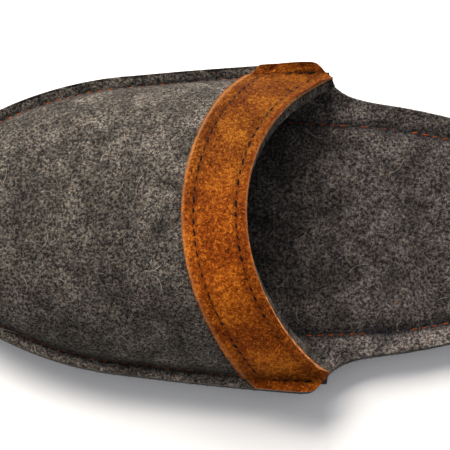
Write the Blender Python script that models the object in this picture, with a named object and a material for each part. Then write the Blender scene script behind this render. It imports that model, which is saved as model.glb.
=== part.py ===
"""A felt mule slipper: a two-layer felt sole, a felt vamp sewn to it edge to edge, and a suede band along the throat.

Metres, +Z up. The toe points along +X, the floor is z = 0, and the origin lies on it under the middle of the slipper.
The shape is worked out in plan first. A place in plan is given by how far back from the toe tip it lies, here called
back, and by how far out from the middle line it lies, here called out. Both sides of the slipper are alike.
"""

import bmesh
import bpy
import numpy as np

# Overall sizes
LENGTH = 0.270
TOE_SHOULDER = 0.075  # the rounded toe ends this far back
HEEL_SHOULDER = 0.228  # the rounded heel starts this far back
WING_CORNER = 0.141  # the rear corner of the vamp, where the sole is widest
CORNER_SOFTNESS = 0.002  # how much the wing corner is rounded

# Layers
OUTSOLE_THICKNESS = 0.004
FOOTBED_THICKNESS = 0.004
VAMP_THICKNESS = 0.0035
FLANGE_THICKNESS = 0.0026  # the vamp's edge, pressed by its seam
SUEDE_THICKNESS = 0.0013
CLEARANCE = 0.0003  # between two layers

# Bends of the sole
TOE_SPRING = 0.005
SPRING_START = 0.060  # the toe lifts ahead of this
RIM_WIDTH = 0.009  # the margin that turns up all round
RIM_LIFT = 0.0026
WING_LIFT = 0.0010  # more lift at the wing corners, pulled up by the vamp
WING_REACH = 0.012
WING_TUCK = 0.0020  # the arch narrows by this at the throat, where it comes down onto the flange
WING_EASE = 3.0  # and its valley there is this many times wider
EASE_START = 0.104
EASE_END = 0.132
TUCK_START = 0.118

# Seams
SEAM_INSET = 0.0039  # from the sewn edge to the vamp's seam
SEAM_SLOPE = 2.0  # how sharply the valley at the seam bends
SEAM_FILLET = 0.0018
GROOVE_DEPTH = 0.0014  # where the footbed's stitching pulls it down
GROOVE_WIDTH = 0.0019
PAD_CROWN = 0.0011  # the footbed swells inside its stitching
PAD_REACH = 0.006

# Roundness of the vamp's arch across the foot: 0.5 is half an ellipse, 1 a parabola
ARCH_POWER = 0.62
WING_POWER = 0.85  # the arch's sides are gentler at the wings

# Edges of the suede band, which are arcs in plan
THROAT_BACK = 0.1174
THROAT_RADIUS = 0.058
BAND_FRONT_BACK = 0.0962
BAND_FRONT_RADIUS = 0.074

# The forefoot's side, along which the vamp is sewn: (back, out)
SEWN_SIDE = (
    (0.000, 0.0440),
    (0.075, 0.0513),
    (0.100, 0.0539),
    (0.125, 0.0560),
    (0.141, 0.0572),
    (0.175, 0.0590),
)

# The side behind the wings, starting as the slanted cut at the wing corner: (back, out)
REAR_SIDE = (
    (0.1000, 0.1070),
    (0.1425, 0.0555),
    (0.1472, 0.0499),
    (0.1524, 0.0464),
    (0.1580, 0.0447),
    (0.1734, 0.0422),
    (0.1838, 0.0401),
    (0.2000, 0.0364),
    (0.2140, 0.0336),
    (0.2280, 0.0316),
    (0.2700, 0.0300),
)

# The footbed's stitched line: (back, out)
STITCH_SIDE = (
    (0.000, 0.0370),
    (0.075, 0.0385),
    (0.137, 0.0370),
    (0.158, 0.0360),
    (0.172, 0.0348),
    (0.189, 0.0317),
    (0.210, 0.0272),
    (0.228, 0.0242),
    (0.270, 0.0228),
)
STITCH_TOE_TIP = 0.014
STITCH_HEEL_TIP = 0.2625

# Height of the vamp's ridge above its seam: (back, rise)
RIDGE = (
    (SEAM_INSET, 0.0000),
    (0.008, 0.0062),
    (0.014, 0.0110),
    (0.024, 0.0155),
    (0.040, 0.0205),
    (0.070, 0.0285),
    (0.097, 0.0350),
    (0.1186, 0.0405),
    (0.1480, 0.0435),
)

FELT_GREY = (0.055, 0.048, 0.045, 1.0)
FELT_DARK = (0.020, 0.019, 0.021, 1.0)
SUEDE_TAN = (0.262, 0.072, 0.010, 1.0)


def smooth_through(rows, at):
    """A smooth curve with no overshoot through a table's rows, read at the places given."""
    place, value = np.array(rows).T
    step = np.diff(place)
    rate = np.diff(value) / step
    slope = np.concatenate([rate[:1], np.zeros(len(rate) - 1), rate[-1:]])
    for i in range(1, len(rate)):
        if rate[i - 1] * rate[i] > 0:
            before, after = 2 * step[i] + step[i - 1], step[i] + 2 * step[i - 1]
            slope[i] = (before + after) / (before / rate[i - 1] + after / rate[i])
    at = np.clip(at, place[0], place[-1])
    i = np.clip(np.searchsorted(place, at, side="right") - 1, 0, len(step) - 1)
    t = (at - place[i]) / step[i]
    from_start = (1 + 2 * t) * (1 - t) ** 2 * value[i] + t * (1 - t) ** 2 * step[i] * slope[i]
    from_end = t**2 * (3 - 2 * t) * value[i + 1] + t**2 * (t - 1) * step[i] * slope[i + 1]
    return from_start + from_end


def soft_min(a, b, softness):
    return (a + b - np.sqrt((a - b) ** 2 + softness**2)) / 2


def soft_max(a, b, softness):
    return (a + b + np.sqrt((a - b) ** 2 + softness**2)) / 2


def rounded_ends(back, toe_tip, heel_tip):
    """1 along the sides, falling to 0 at the toe tip and the heel tip as an ellipse does."""
    into_toe = np.clip((TOE_SHOULDER - back) / (TOE_SHOULDER - toe_tip), 0, 1)
    into_heel = np.clip((back - HEEL_SHOULDER) / (heel_tip - HEEL_SHOULDER), 0, 1)
    return np.sqrt((1 - into_toe**2) * (1 - into_heel**2))


def outline_out(back):
    """Half width of the sole."""
    side = soft_min(smooth_through(SEWN_SIDE, back), smooth_through(REAR_SIDE, back), CORNER_SOFTNESS)
    return side * rounded_ends(back, 0, LENGTH)


def sewn_out(back, inset=0.0):
    """Half width of the line along which the vamp is sewn, run straight on past the wing corner."""
    side = smooth_through(SEWN_SIDE, back) - inset
    into_toe = np.clip((TOE_SHOULDER - back) / (TOE_SHOULDER - inset), 0, 1)
    return side * np.sqrt(1 - into_toe**2)


def stitch_out(back, offset=0.0):
    """Half width of the footbed's stitched line, or of a line that far outside it."""
    ends = rounded_ends(back, STITCH_TOE_TIP - offset, STITCH_HEEL_TIP + offset)
    return (smooth_through(STITCH_SIDE, back) + offset) * ends


def plan(back, out):
    """Plan points in the slipper's frame, from back and out."""
    return np.stack([LENGTH / 2 - np.asarray(back), np.asarray(out)], axis=-1)


def stations(last=LENGTH):
    """Places along the length, closest where the outline bends most."""
    toe = TOE_SHOULDER * (1 - np.cos(np.linspace(0, np.pi / 2, 12)))
    side = np.linspace(TOE_SHOULDER, 0.120, 6)[1:]
    wing = np.array([0.1242, 0.1280, 0.1315, 0.1345, 0.1370, 0.1392, WING_CORNER])
    cut = np.array([0.1430, 0.1452, 0.1480, 0.1515, 0.1560, 0.1630])
    waist = np.linspace(0.163, HEEL_SHOULDER, 8)[1:]
    heel = HEEL_SHOULDER + (LENGTH - HEEL_SHOULDER) * np.sin(np.linspace(0, np.pi / 2, 9))[1:]
    every = np.concatenate([toe, side, wing, cut, waist, heel])
    return every[every <= last + 1e-9]


def both_sides(points):
    """A closed loop from the points of one side, which run from the toe tip to the heel tip."""
    return np.concatenate([points, (points * (1, -1))[-2:0:-1]])


def distance_to(line, points):
    """Distance in plan from each point to the nearest stretch of a line of points."""
    start, along = line[:-1], np.diff(line, axis=0)
    offset = points[..., None, :] - start
    share = np.clip((offset * along).sum(-1) / (along**2).sum(-1), 0, 1)
    return np.linalg.norm(offset - share[..., None] * along, axis=-1).min(-1)


def closed_line(out_at, toe_tip=0.0, heel_tip=LENGTH):
    """A fine closed line of points round one of the plan's loops, for measuring distances."""
    turn = np.linspace(0, np.pi, 181)
    back = toe_tip + (heel_tip - toe_tip) / 2 * (1 - np.cos(turn))
    loop = both_sides(plan(back, out_at(back)))
    return np.concatenate([loop, loop[:1]])


OUTLINE = closed_line(outline_out)
STITCH_LINE = closed_line(stitch_out, STITCH_TOE_TIP, STITCH_HEEL_TIP)


def back_of(points):
    return LENGTH / 2 - points[..., 0]


def depth(points):
    """How far inside the outline each point lies, below zero outside it."""
    inside = np.abs(points[..., 1]) <= outline_out(np.clip(back_of(points), 0, LENGTH))
    return distance_to(OUTLINE, points) * np.where(inside, 1, -1)


def ground(points):
    """Height of the sole's underside: flat on the floor, with toe spring and a rim that turns up."""
    back = back_of(points)
    spring = TOE_SPRING * np.clip(1 - back / SPRING_START, 0, 1) ** 2
    wing = WING_LIFT * np.exp(-(((back - WING_CORNER) / WING_REACH) ** 2))
    margin = np.maximum(1 - depth(points) / RIM_WIDTH, 0)
    return spring + (RIM_LIFT + wing) * margin**2


def outsole_top(points):
    return ground(points) + OUTSOLE_THICKNESS


def footbed_underside(points):
    return outsole_top(points) + CLEARANCE


def footbed_top(points):
    """The footbed's upper face, drawn down along its stitched line and swelling a little inside it."""
    near = distance_to(STITCH_LINE, points)
    inside = np.abs(points[..., 1]) < stitch_out(back_of(points))
    groove = GROOVE_DEPTH * np.exp(-((near / GROOVE_WIDTH) ** 2))
    pad = PAD_CROWN * (1 - np.exp(-near / PAD_REACH)) * inside
    return footbed_underside(points) + FOOTBED_THICKNESS - groove + pad


def vamp_top(points):
    """The vamp's outer face: a flat sewn flange, a rounded valley at the seam, and an arch inside it."""
    back, out = back_of(points), np.abs(points[..., 1])
    settled = np.clip((back - TUCK_START) / (WING_CORNER - TUCK_START), 0, 1) ** 2
    tuck = WING_TUCK * settled
    seam = np.maximum(sewn_out(back, SEAM_INSET) - tuck, 1e-6)
    flange = ground(points) + OUTSOLE_THICKNESS + FOOTBED_THICKNESS + 2 * CLEARANCE + FLANGE_THICKNESS
    share = np.minimum(out / seam, 1)
    ease = np.clip((back - EASE_START) / (EASE_END - EASE_START), 0, 1)
    ease = ease**2 * (3 - 2 * ease)
    arch = smooth_through(RIDGE, back) * (1 - share**2) ** (ARCH_POWER + (WING_POWER - ARCH_POWER) * ease)
    beyond = SEAM_INSET + tuck - distance_to(SEWN_EDGE, points)
    over_foot = (share < 1) & (back > SEAM_INSET)
    rise = np.where(over_foot, arch, -SEAM_SLOPE * np.maximum(beyond, 0))
    return soft_max(flange, flange + rise, SEAM_FILLET * (1 + (WING_EASE - 1) * ease))


def sewn_edge():
    """The sewn edge as an open line, from behind one wing corner round the toe to behind the other."""
    back = 0.170 * (1 - np.cos(np.linspace(0, np.pi / 2, 121)))
    side = plan(back, sewn_out(back))
    return np.concatenate([side[::-1], (side * (1, -1))[1:]])


SEWN_EDGE = sewn_edge()


def raised(points, height):
    """Plan points with a height from one of the functions above."""
    return np.concatenate([points, height(points)[..., None]], axis=-1)


def normals(points, height, step=0.0003):
    """Upward unit normals of a height function."""
    along_x = (height(points + (step, 0)) - height(points - (step, 0))) / (2 * step)
    along_y = (height(points + (0, step)) - height(points - (0, step))) / (2 * step)
    normal = np.stack([-along_x, -along_y, np.ones_like(along_x)], axis=-1)
    return normal / np.linalg.norm(normal, axis=-1, keepdims=True)


def offsets(points, height):
    """Steps of unit thickness off a surface: along its normal, but upright at the sewn edge, which is cut flush."""
    normal = normals(points, height)
    share = np.clip(depth(points) / SEAM_INSET, 0, 1)[..., None]
    upright = np.zeros_like(normal)
    upright[..., 2] = 1 / normal[..., 2]
    return share * normal + (1 - share) * upright


def arc_back(out, front_back, radius):
    """How far back an arc lies that is centred on the middle line behind its foremost point."""
    return front_back + radius - np.sqrt(radius**2 - out**2)


def throat_end():
    """(back, out) where the throat's arc meets the slanted cut at the wing."""
    low, high = 0.045, 0.056
    for _ in range(40):
        out = (low + high) / 2
        inside = out < outline_out(arc_back(out, THROAT_BACK, THROAT_RADIUS))
        low, high = (out, high) if inside else (low, out)
    return arc_back(out, THROAT_BACK, THROAT_RADIUS), out


def band_front_end():
    """(back, out) where the band's front arc meets the sewn edge."""
    low, high = 0.045, 0.060
    for _ in range(40):
        out = (low + high) / 2
        inside = out < outline_out(arc_back(out, BAND_FRONT_BACK, BAND_FRONT_RADIUS))
        low, high = (out, high) if inside else (low, out)
    return arc_back(out, BAND_FRONT_BACK, BAND_FRONT_RADIUS), out


def seam_end():
    """How far back the vamp's seam runs before it meets the slanted cut."""
    back = np.linspace(WING_CORNER, 0.150, 400)
    return back[np.argmax(outline_out(back) < sewn_out(back, SEAM_INSET))]


def mirrored_columns(side):
    """A grid's columns from one wing round the toe to the other, from those of one side, toe column first."""
    return np.concatenate([side[:, ::-1], (side * (1, -1))[:, 1:]], axis=1)


def shell(name, upper, lower, material, closed=False):
    """A solid between two grids of points. A closed grid's columns run round a loop and its last row is its spine."""
    rows, columns = upper.shape[:2]
    mesh = bmesh.new()
    grids = [[[mesh.verts.new(point) for point in row] for row in grid] for grid in (upper, lower)]
    spans = columns if closed else columns - 1
    for grid in grids:
        for i in range(rows - 1):
            for j in range(spans):
                k = (j + 1) % columns
                mesh.faces.new((grid[i][j], grid[i][k], grid[i + 1][k], grid[i + 1][j]))
    top, bottom = grids
    edges = [(top[0], bottom[0])]
    if not closed:
        edges.append((top[-1], bottom[-1]))
        edges += [([row[j] for row in top], [row[j] for row in bottom]) for j in (0, -1)]
    for above, below in edges:
        count = spans if closed else len(above) - 1
        for j in range(count):
            k = (j + 1) % len(above)
            mesh.faces.new((above[j], above[k], below[k], below[j]))
    bmesh.ops.remove_doubles(mesh, verts=mesh.verts, dist=1e-6)
    bmesh.ops.dissolve_degenerate(mesh, edges=mesh.edges, dist=1e-6)
    bmesh.ops.recalc_face_normals(mesh, faces=mesh.faces)
    data = bpy.data.meshes.new(name)
    mesh.to_mesh(data)
    mesh.free()
    data.shade_smooth()
    data.set_sharp_from_angle(angle=np.radians(50))
    data.materials.append(material)
    node = bpy.data.objects.new(name, data)
    bpy.context.scene.collection.objects.link(node)
    return node


def material(name, colour, roughness):
    made = bpy.data.materials.new(name)
    made.use_nodes = True
    shader = made.node_tree.nodes["Principled BSDF"]
    shader.inputs["Base Color"].default_value = colour
    shader.inputs["Roughness"].default_value = roughness
    shader.inputs["Metallic"].default_value = 0.0
    return made


def sole_rings(to_stitching, to_middle):
    """Rings of plan points from the outline in to the stitched line, and on to a spine on the middle line."""
    share = stations() / LENGTH
    edge = plan(share * LENGTH, outline_out(share * LENGTH))
    rings = []

    def stitched(offset):
        toe, heel = STITCH_TOE_TIP - offset, STITCH_HEEL_TIP + offset
        back = toe + share * (heel - toe)
        return plan(back, stitch_out(back, offset))

    outside, line, inside = stitched(GROOVE_WIDTH * 1.5), stitched(0), stitched(-GROOVE_WIDTH * 1.5)
    for t in to_stitching:
        rings.append(edge + t * (outside - edge))
    rings.append(line)
    for t in to_middle:
        rings.append(inside * (1, 1 - t))
    return np.array([both_sides(ring) for ring in rings])


def outsole():
    """The lower felt layer, which stands on the floor."""
    rings = sole_rings((0, 0.15, 0.4, 0.75, 1), (0, 0.5, 1))
    return shell(
        "outsole",
        raised(rings, outsole_top),
        raised(rings, ground),
        material("dark pressed felt", FELT_DARK, 0.95),
        closed=True,
    )


def footbed():
    """The upper felt layer, with the stitched line that holds it to the outsole."""
    rings = sole_rings((0, 0.15, 0.4, 0.75, 1), (0, 0.3, 0.65, 1))
    return shell(
        "footbed",
        raised(rings, footbed_top),
        raised(rings, footbed_underside),
        material("grey felt footbed", FELT_GREY, 0.95),
        closed=True,
    )


def vamp_columns():
    """Plan points of the vamp: rows from its edge in to the seam and on to the throat, columns from wing to wing."""
    back = stations(WING_CORNER)
    share = back / WING_CORNER
    edge = plan(back, outline_out(back))
    seam_back = SEAM_INSET + share * (seam_end() - SEAM_INSET)
    seam = plan(seam_back, sewn_out(seam_back, SEAM_INSET))
    run = np.concatenate([[0], np.cumsum(np.linalg.norm(np.diff(edge, axis=0), axis=1))])
    throat_out = THROAT_RADIUS * np.sin(run / run[-1] * np.arcsin(throat_end()[1] / THROAT_RADIUS))
    throat = plan(arc_back(throat_out, THROAT_BACK, THROAT_RADIUS), throat_out)
    flange = [edge + t * (seam - edge) for t in (0, 0.4, 0.75, 0.9)]
    inner = [0, 0.008, 0.018, 0.032, 0.055, 0.09, 0.14, 0.2, 0.27, 0.36, 0.46, 0.57, 0.7, 0.85, 1]
    arch = [seam + t * (throat - seam) for t in inner]
    return mirrored_columns(np.array(flange + arch)), len(flange)


def vamp():
    """The felt upper: one sheet, arched over the foot and open at the throat and underneath."""
    points, flange_rows = vamp_columns()
    outer = raised(points, vamp_top)
    inner = outer - VAMP_THICKNESS * normals(points, vamp_top)
    inner[:flange_rows, :, :2] = points[:flange_rows]
    seat = footbed_top(inner[..., :2]) + CLEARANCE
    inner[..., 2] = np.maximum(inner[..., 2], seat)
    inner[:flange_rows, :, 2] = seat[:flange_rows]
    return shell("vamp", outer, inner, material("grey felt vamp", FELT_GREY, 0.95))


def patch(front, rear, left, right, across, along):
    """Plan points that fill a four-sided patch, from its four edges."""
    c, v = across[:, None, None], along[None, :, None]
    ruled = (1 - c) * front + c * rear + (1 - v) * left[:, None] + v * right[:, None]
    corners = (1 - c) * ((1 - v) * front[0] + v * front[-1]) + c * ((1 - v) * rear[0] + v * rear[-1])
    return ruled - corners


def band_points():
    """Plan points of the band: rows from its front edge back to the throat, columns from wing to wing."""
    front_end, rear_end = band_front_end(), throat_end()
    even = np.linspace(0, 1, 49)
    along = even - 0.6 * np.sin(2 * np.pi * even) / (2 * np.pi)  # closer together toward both wings
    across = np.array([0, 0.12, 0.24, 0.36, 0.48, 0.6, 0.71, 0.81, 0.88, 0.94, 1])

    def arc(end, front_back, radius):
        out = radius * np.sin((1 - 2 * along) * np.arcsin(end[1] / radius))
        return plan(arc_back(out, front_back, radius), out)

    front = arc(front_end, BAND_FRONT_BACK, BAND_FRONT_RADIUS)
    rear = arc(rear_end, THROAT_BACK, THROAT_RADIUS)
    end_back = front_end[0] + across * (rear_end[0] - front_end[0])
    left = plan(end_back, outline_out(end_back))
    return patch(front, rear, left, left * (1, -1), across, along)


def throat_band():
    """The suede band: an overlay on the vamp's rear margin, from wing corner to wing corner."""
    points = band_points()
    seat = raised(points, vamp_top)
    step = offsets(points, vamp_top)
    return shell(
        "throat_band",
        seat + (CLEARANCE + SUEDE_THICKNESS) * step,
        seat + CLEARANCE * step,
        material("tan suede", SUEDE_TAN, 0.9),
    )


def main():
    for old in list(bpy.data.objects):
        bpy.data.objects.remove(old)
    outsole()
    footbed()
    vamp()
    throat_band()


main()
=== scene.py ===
import bmesh
import bpy
import numpy as np
from mathutils import Matrix


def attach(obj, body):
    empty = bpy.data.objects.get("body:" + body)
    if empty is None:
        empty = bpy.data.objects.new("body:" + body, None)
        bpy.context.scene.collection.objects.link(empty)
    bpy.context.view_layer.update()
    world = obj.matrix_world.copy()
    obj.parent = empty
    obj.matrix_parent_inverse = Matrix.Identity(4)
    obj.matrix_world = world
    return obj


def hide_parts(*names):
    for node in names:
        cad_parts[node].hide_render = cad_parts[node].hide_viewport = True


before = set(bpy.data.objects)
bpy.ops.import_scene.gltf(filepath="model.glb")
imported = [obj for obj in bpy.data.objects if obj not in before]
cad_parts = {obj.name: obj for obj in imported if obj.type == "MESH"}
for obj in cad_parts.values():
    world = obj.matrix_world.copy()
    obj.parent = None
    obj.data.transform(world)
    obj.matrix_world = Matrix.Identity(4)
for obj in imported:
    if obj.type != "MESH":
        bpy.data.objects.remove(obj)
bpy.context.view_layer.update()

# The looks of a felt mule slipper: melange wool felt, a tan suede band, sewn seams and loose fibres.
# Metres, in the frame of the solids: the toe points along +X, and the floor is z = 0. A place in plan is
# given by how far back from the toe tip it lies, called back, and how far from the middle line, called out.

# Sizes of the solids, repeated here
LENGTH = 0.270
TOE_SHOULDER = 0.075  # where the toe's rounding starts
HEEL_SHOULDER = 0.228  # where the heel's starts
WING_CORNER = 0.141  # where the vamp's wings end
CORNER_SOFTNESS = 0.002
OUTSOLE_THICKNESS = 0.004
FOOTBED_THICKNESS = 0.004
VAMP_THICKNESS = 0.0035
FLANGE_THICKNESS = 0.0026
SUEDE_THICKNESS = 0.0013
CLEARANCE = 0.0003  # between two sewn layers
TOE_SPRING = 0.005
SPRING_START = 0.060
RIM_WIDTH = 0.009  # of the margin that turns up
RIM_LIFT = 0.0026
WING_LIFT = 0.0010  # what the rim rises more at the wing corners
WING_REACH = 0.012
WING_TUCK = 0.0020  # how far the arch's foot moves in at the wings
TUCK_START = 0.118
EASE_START = 0.104  # from here on the arch's sides grow gentler toward the wings
EASE_END = 0.132
WING_EASE = 3.0  # how much softer the valley at the seam becomes there
SEAM_INSET = 0.0039  # from the outline to the vamp's seam
SEAM_SLOPE = 2.0
SEAM_FILLET = 0.0018
GROOVE_DEPTH = 0.0014
GROOVE_WIDTH = 0.0019
PAD_CROWN = 0.0011  # how far the footbed swells inside its stitched line
PAD_REACH = 0.006
ARCH_POWER = 0.62  # of the arch's cross section
WING_POWER = 0.85  # of the gentler one at the wings
THROAT_BACK = 0.1174  # foremost point of the throat's arc
THROAT_RADIUS = 0.058
BAND_FRONT_BACK = 0.0962  # foremost point of the band's front edge
BAND_FRONT_RADIUS = 0.074
STITCH_TOE_TIP = 0.014  # where the footbed's stitched line begins and ends
STITCH_HEEL_TIP = 0.2625

# Sides of the outline and of the stitched line: (back, out)
SEWN_SIDE = (
    (0.000, 0.0440),
    (0.075, 0.0513),
    (0.100, 0.0539),
    (0.125, 0.0560),
    (0.141, 0.0572),
    (0.175, 0.0590),
)
REAR_SIDE = (
    (0.1000, 0.1070),
    (0.1425, 0.0555),
    (0.1472, 0.0499),
    (0.1524, 0.0464),
    (0.1580, 0.0447),
    (0.1734, 0.0422),
    (0.1838, 0.0401),
    (0.2000, 0.0364),
    (0.2140, 0.0336),
    (0.2280, 0.0316),
    (0.2700, 0.0300),
)
STITCH_SIDE = (
    (0.000, 0.0370),
    (0.075, 0.0385),
    (0.137, 0.0370),
    (0.158, 0.0360),
    (0.172, 0.0348),
    (0.189, 0.0317),
    (0.210, 0.0272),
    (0.228, 0.0242),
    (0.270, 0.0228),
)

# Height of the vamp's ridge above its seam: (back, rise)
RIDGE = (
    (SEAM_INSET, 0.0000),
    (0.008, 0.0062),
    (0.014, 0.0110),
    (0.024, 0.0155),
    (0.040, 0.0205),
    (0.070, 0.0285),
    (0.097, 0.0350),
    (0.1186, 0.0405),
    (0.1480, 0.0435),
)

# Relief that only the looks need
EDGE_ROUNDING = 0.0006  # of the cut felt
SUEDE_ROUNDING = 0.0004
SEAM_PULL = 0.0008  # how deep the thread pulls the vamp down at its seam
SEAM_PULL_WIDTH = 0.0011
ROW_INSET = 0.0037  # the band's stitch rows, from its front and rear edges
ROW_DENT = 0.00035
ROW_DENT_WIDTH = 0.0009
SWELLS = ((0.024, 0.00030), (0.010, 0.00018), (0.0042, 0.00009))  # (size of a swell, its height)
SWELL_CELLS = 97  # the pattern repeats after so many swells
VAMP_SEED, FOOTBED_SEED, SUEDE_SEED = 3, 8, 21  # of their swells
SUEDE_SWELL = 0.4  # the suede swells this much of what the felt does
SWELL_START = 0.001  # the felt swells from this far inside the seam on
SWELL_START_BEHIND = 0.003  # and from this far behind the wing corner on
SWELL_FADE = 0.006
THROAT_LEAN = -0.4  # of its cut: 1 is square to the felt, 0 upright, and below 0 it leans the other way

# Widths of the zones that the materials tell apart
SEAM_ZONE = 0.0012
GROOVE_ZONE = 0.0014
GROOVE_MARGIN = 0.002
WORN_EDGE = 0.0004
REAR_LINE_INSET = 0.0012  # of the dark line beside the band's rear edge
REAR_LINE_WIDTH = 0.0005

# Stitches and fibres
STITCH_PITCH = 0.0036
STITCH_LENGTH = 0.0025
STITCH_SLANT = 0.12
STITCH_SINK = 0.0003  # how deep a stitch may lie
THREAD_WIDTH = 0.0008
BED_THREAD_WIDTH = 0.0007
BED_STITCH_SINK = 0.0006
SEAM_GAP = 0.0015  # what the seam's thread leaves free on each side of the band's front edge
WING_THREAD_LIFT = 0.0004
BED_THREAD_LIFT = 0.0001
FRONT_ROW_OUT = 0.0500  # how far out the band's rows run
REAR_ROW_OUT = 0.0490
BAND_SETBACK = 0.0005  # the vamp's fibres end this far ahead of the band
BED_FIBRES_BACK = THROAT_BACK - 0.02

# Shares and colours of the looks
FELT_STRANDS = (  # (waves to the metre, width of a line in the noise's range, shift, strength)
    (800.0, 0.085, 0.31, 0.9),
    (1150.0, 0.095, 0.77, 0.8),
    (1700.0, 0.11, 1.9, 0.6),
)
PAINTED_LIT_SIDE_TONE = (0.88, 0.84, 0.9, 1.0)  # the suede's colour factor on the slipper's right, under the key light: painted a little darker
PAINTED_SHADE_SIDE_FILL = (2.3, 1.85, 1.8, 1.0)  # and on its left, away from the key light: painted light that fills the shade

# Camera: the photograph looks almost straight down, from a little to the slipper's left
CAMERA_DISTANCE = 0.75
CAMERA_TILT_BACK = np.radians(0.14)
CAMERA_TILT_SIDE = np.radians(7.78)
CAMERA_ROLL = np.radians(0.865)
CAMERA_TARGET = np.array([0.0246, -0.0019, 0.0])
CAMERA_FOCAL_PIXELS = 2150.6
FRAME_PIXELS = 450
SENSOR = 36.0


# Form of the slipper


def smooth_through(rows, at):
    """A smooth curve with no overshoot through a table's rows, read at the places given."""
    place, value = np.array(rows).T
    step = np.diff(place)
    rate = np.diff(value) / step
    slope = np.concatenate([rate[:1], np.zeros(len(rate) - 1), rate[-1:]])
    for i in range(1, len(rate)):
        if rate[i - 1] * rate[i] > 0:
            before, after = 2 * step[i] + step[i - 1], step[i] + 2 * step[i - 1]
            slope[i] = (before + after) / (before / rate[i - 1] + after / rate[i])
    at = np.clip(at, place[0], place[-1])
    i = np.clip(np.searchsorted(place, at, side="right") - 1, 0, len(step) - 1)
    t = (at - place[i]) / step[i]
    from_start = (1 + 2 * t) * (1 - t) ** 2 * value[i] + t * (1 - t) ** 2 * step[i] * slope[i]
    from_end = t**2 * (3 - 2 * t) * value[i + 1] + t**2 * (t - 1) * step[i] * slope[i + 1]
    return from_start + from_end


def smooth_step(t):
    return t**2 * (3 - 2 * t)


def nearness(distance, width):
    """1 at no distance, falling to nearly 0 at twice the width."""
    return np.exp(-((distance / width) ** 2))


def soft_min(a, b, softness):
    return (a + b - np.sqrt((a - b) ** 2 + softness**2)) / 2


def soft_max(a, b, softness):
    return (a + b + np.sqrt((a - b) ** 2 + softness**2)) / 2


def rounded_ends(back, toe_tip, heel_tip):
    """1 along the sides, falling to 0 at the toe tip and the heel tip as an ellipse does."""
    into_toe = np.clip((TOE_SHOULDER - back) / (TOE_SHOULDER - toe_tip), 0, 1)
    into_heel = np.clip((back - HEEL_SHOULDER) / (heel_tip - HEEL_SHOULDER), 0, 1)
    return np.sqrt((1 - into_toe**2) * (1 - into_heel**2))


def outline_out(back):
    """Half width of the sole."""
    side = soft_min(smooth_through(SEWN_SIDE, back), smooth_through(REAR_SIDE, back), CORNER_SOFTNESS)
    return side * rounded_ends(back, 0, LENGTH)


def sewn_out(back, inset=0.0):
    """Half width of the line along which the vamp is sewn, run straight on past the wing corner."""
    side = smooth_through(SEWN_SIDE, back) - inset
    into_toe = np.clip((TOE_SHOULDER - back) / (TOE_SHOULDER - inset), 0, 1)
    return side * np.sqrt(1 - into_toe**2)


def stitch_out(back, offset=0.0):
    """Half width of the footbed's stitched line, or of a line that far outside it."""
    ends = rounded_ends(back, STITCH_TOE_TIP - offset, STITCH_HEEL_TIP + offset)
    return (smooth_through(STITCH_SIDE, back) + offset) * ends


def plan(back, out):
    """Plan points in the slipper's frame, from back and out."""
    return np.stack([LENGTH / 2 - np.asarray(back), np.asarray(out)], axis=-1)


def back_of(points):
    return LENGTH / 2 - points[..., 0]


def both_sides(points):
    """A closed loop from the points of one side, which run from the toe tip to the heel tip."""
    return np.concatenate([points, (points * (1, -1))[-2:0:-1]])


def distance_to(line, points):
    """Distance in plan from each point to the nearest stretch of a line, a batch of points at a time."""
    start, along = line[:-1], np.diff(line, axis=0)
    flat = points.reshape(-1, 2)
    found = []
    for batch in np.array_split(flat, len(flat) // 4000 + 1):
        offset = batch[:, None] - start
        share = np.clip((offset * along).sum(-1) / (along**2).sum(-1), 0, 1)
        found.append(np.linalg.norm(offset - share[..., None] * along, axis=-1).min(-1))
    return np.concatenate(found).reshape(points.shape[:-1])


def closed_line(out_at, toe_tip=0.0, heel_tip=LENGTH):
    """A fine closed line of points round one of the plan's loops, for measuring distances."""
    back = toe_tip + (heel_tip - toe_tip) / 2 * (1 - np.cos(np.linspace(0, np.pi, 181)))
    loop = both_sides(plan(back, out_at(back)))
    return np.concatenate([loop, loop[:1]])


def sewn_edge():
    """The sewn edge as an open line, from behind one wing corner round the toe to behind the other."""
    last = 0.170  # well past the wing corner, so that the vamp never lies nearest to the line's end
    back = last * (1 - np.cos(np.linspace(0, np.pi / 2, 121)))
    side = plan(back, sewn_out(back))
    return np.concatenate([side[::-1], (side * (1, -1))[1:]])


OUTLINE = closed_line(outline_out)
STITCH_LINE = closed_line(stitch_out, STITCH_TOE_TIP, STITCH_HEEL_TIP)
SEWN_EDGE = sewn_edge()


def depth(points):
    """How far inside the outline each point lies, below zero outside it."""
    inside = np.abs(points[..., 1]) <= outline_out(np.clip(back_of(points), 0, LENGTH))
    return distance_to(OUTLINE, points) * np.where(inside, 1, -1)


def ground(points):
    """Height of the sole's underside: flat on the floor, with toe spring and a rim that turns up."""
    back = back_of(points)
    spring = TOE_SPRING * np.clip(1 - back / SPRING_START, 0, 1) ** 2
    wing = WING_LIFT * nearness(back - WING_CORNER, WING_REACH)
    margin = np.maximum(1 - depth(points) / RIM_WIDTH, 0)
    return spring + (RIM_LIFT + wing) * margin**2


def outsole_top(points):
    return ground(points) + OUTSOLE_THICKNESS


def footbed_underside(points):
    return outsole_top(points) + CLEARANCE


def footbed_top(points):
    """The footbed's upper face, drawn down along its stitched line and swelling a little inside it."""
    near = distance_to(STITCH_LINE, points)
    inside = np.abs(points[..., 1]) < stitch_out(back_of(points))
    groove = GROOVE_DEPTH * nearness(near, GROOVE_WIDTH)
    pad = PAD_CROWN * (1 - np.exp(-near / PAD_REACH)) * inside
    return footbed_underside(points) + FOOTBED_THICKNESS - groove + pad


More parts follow.
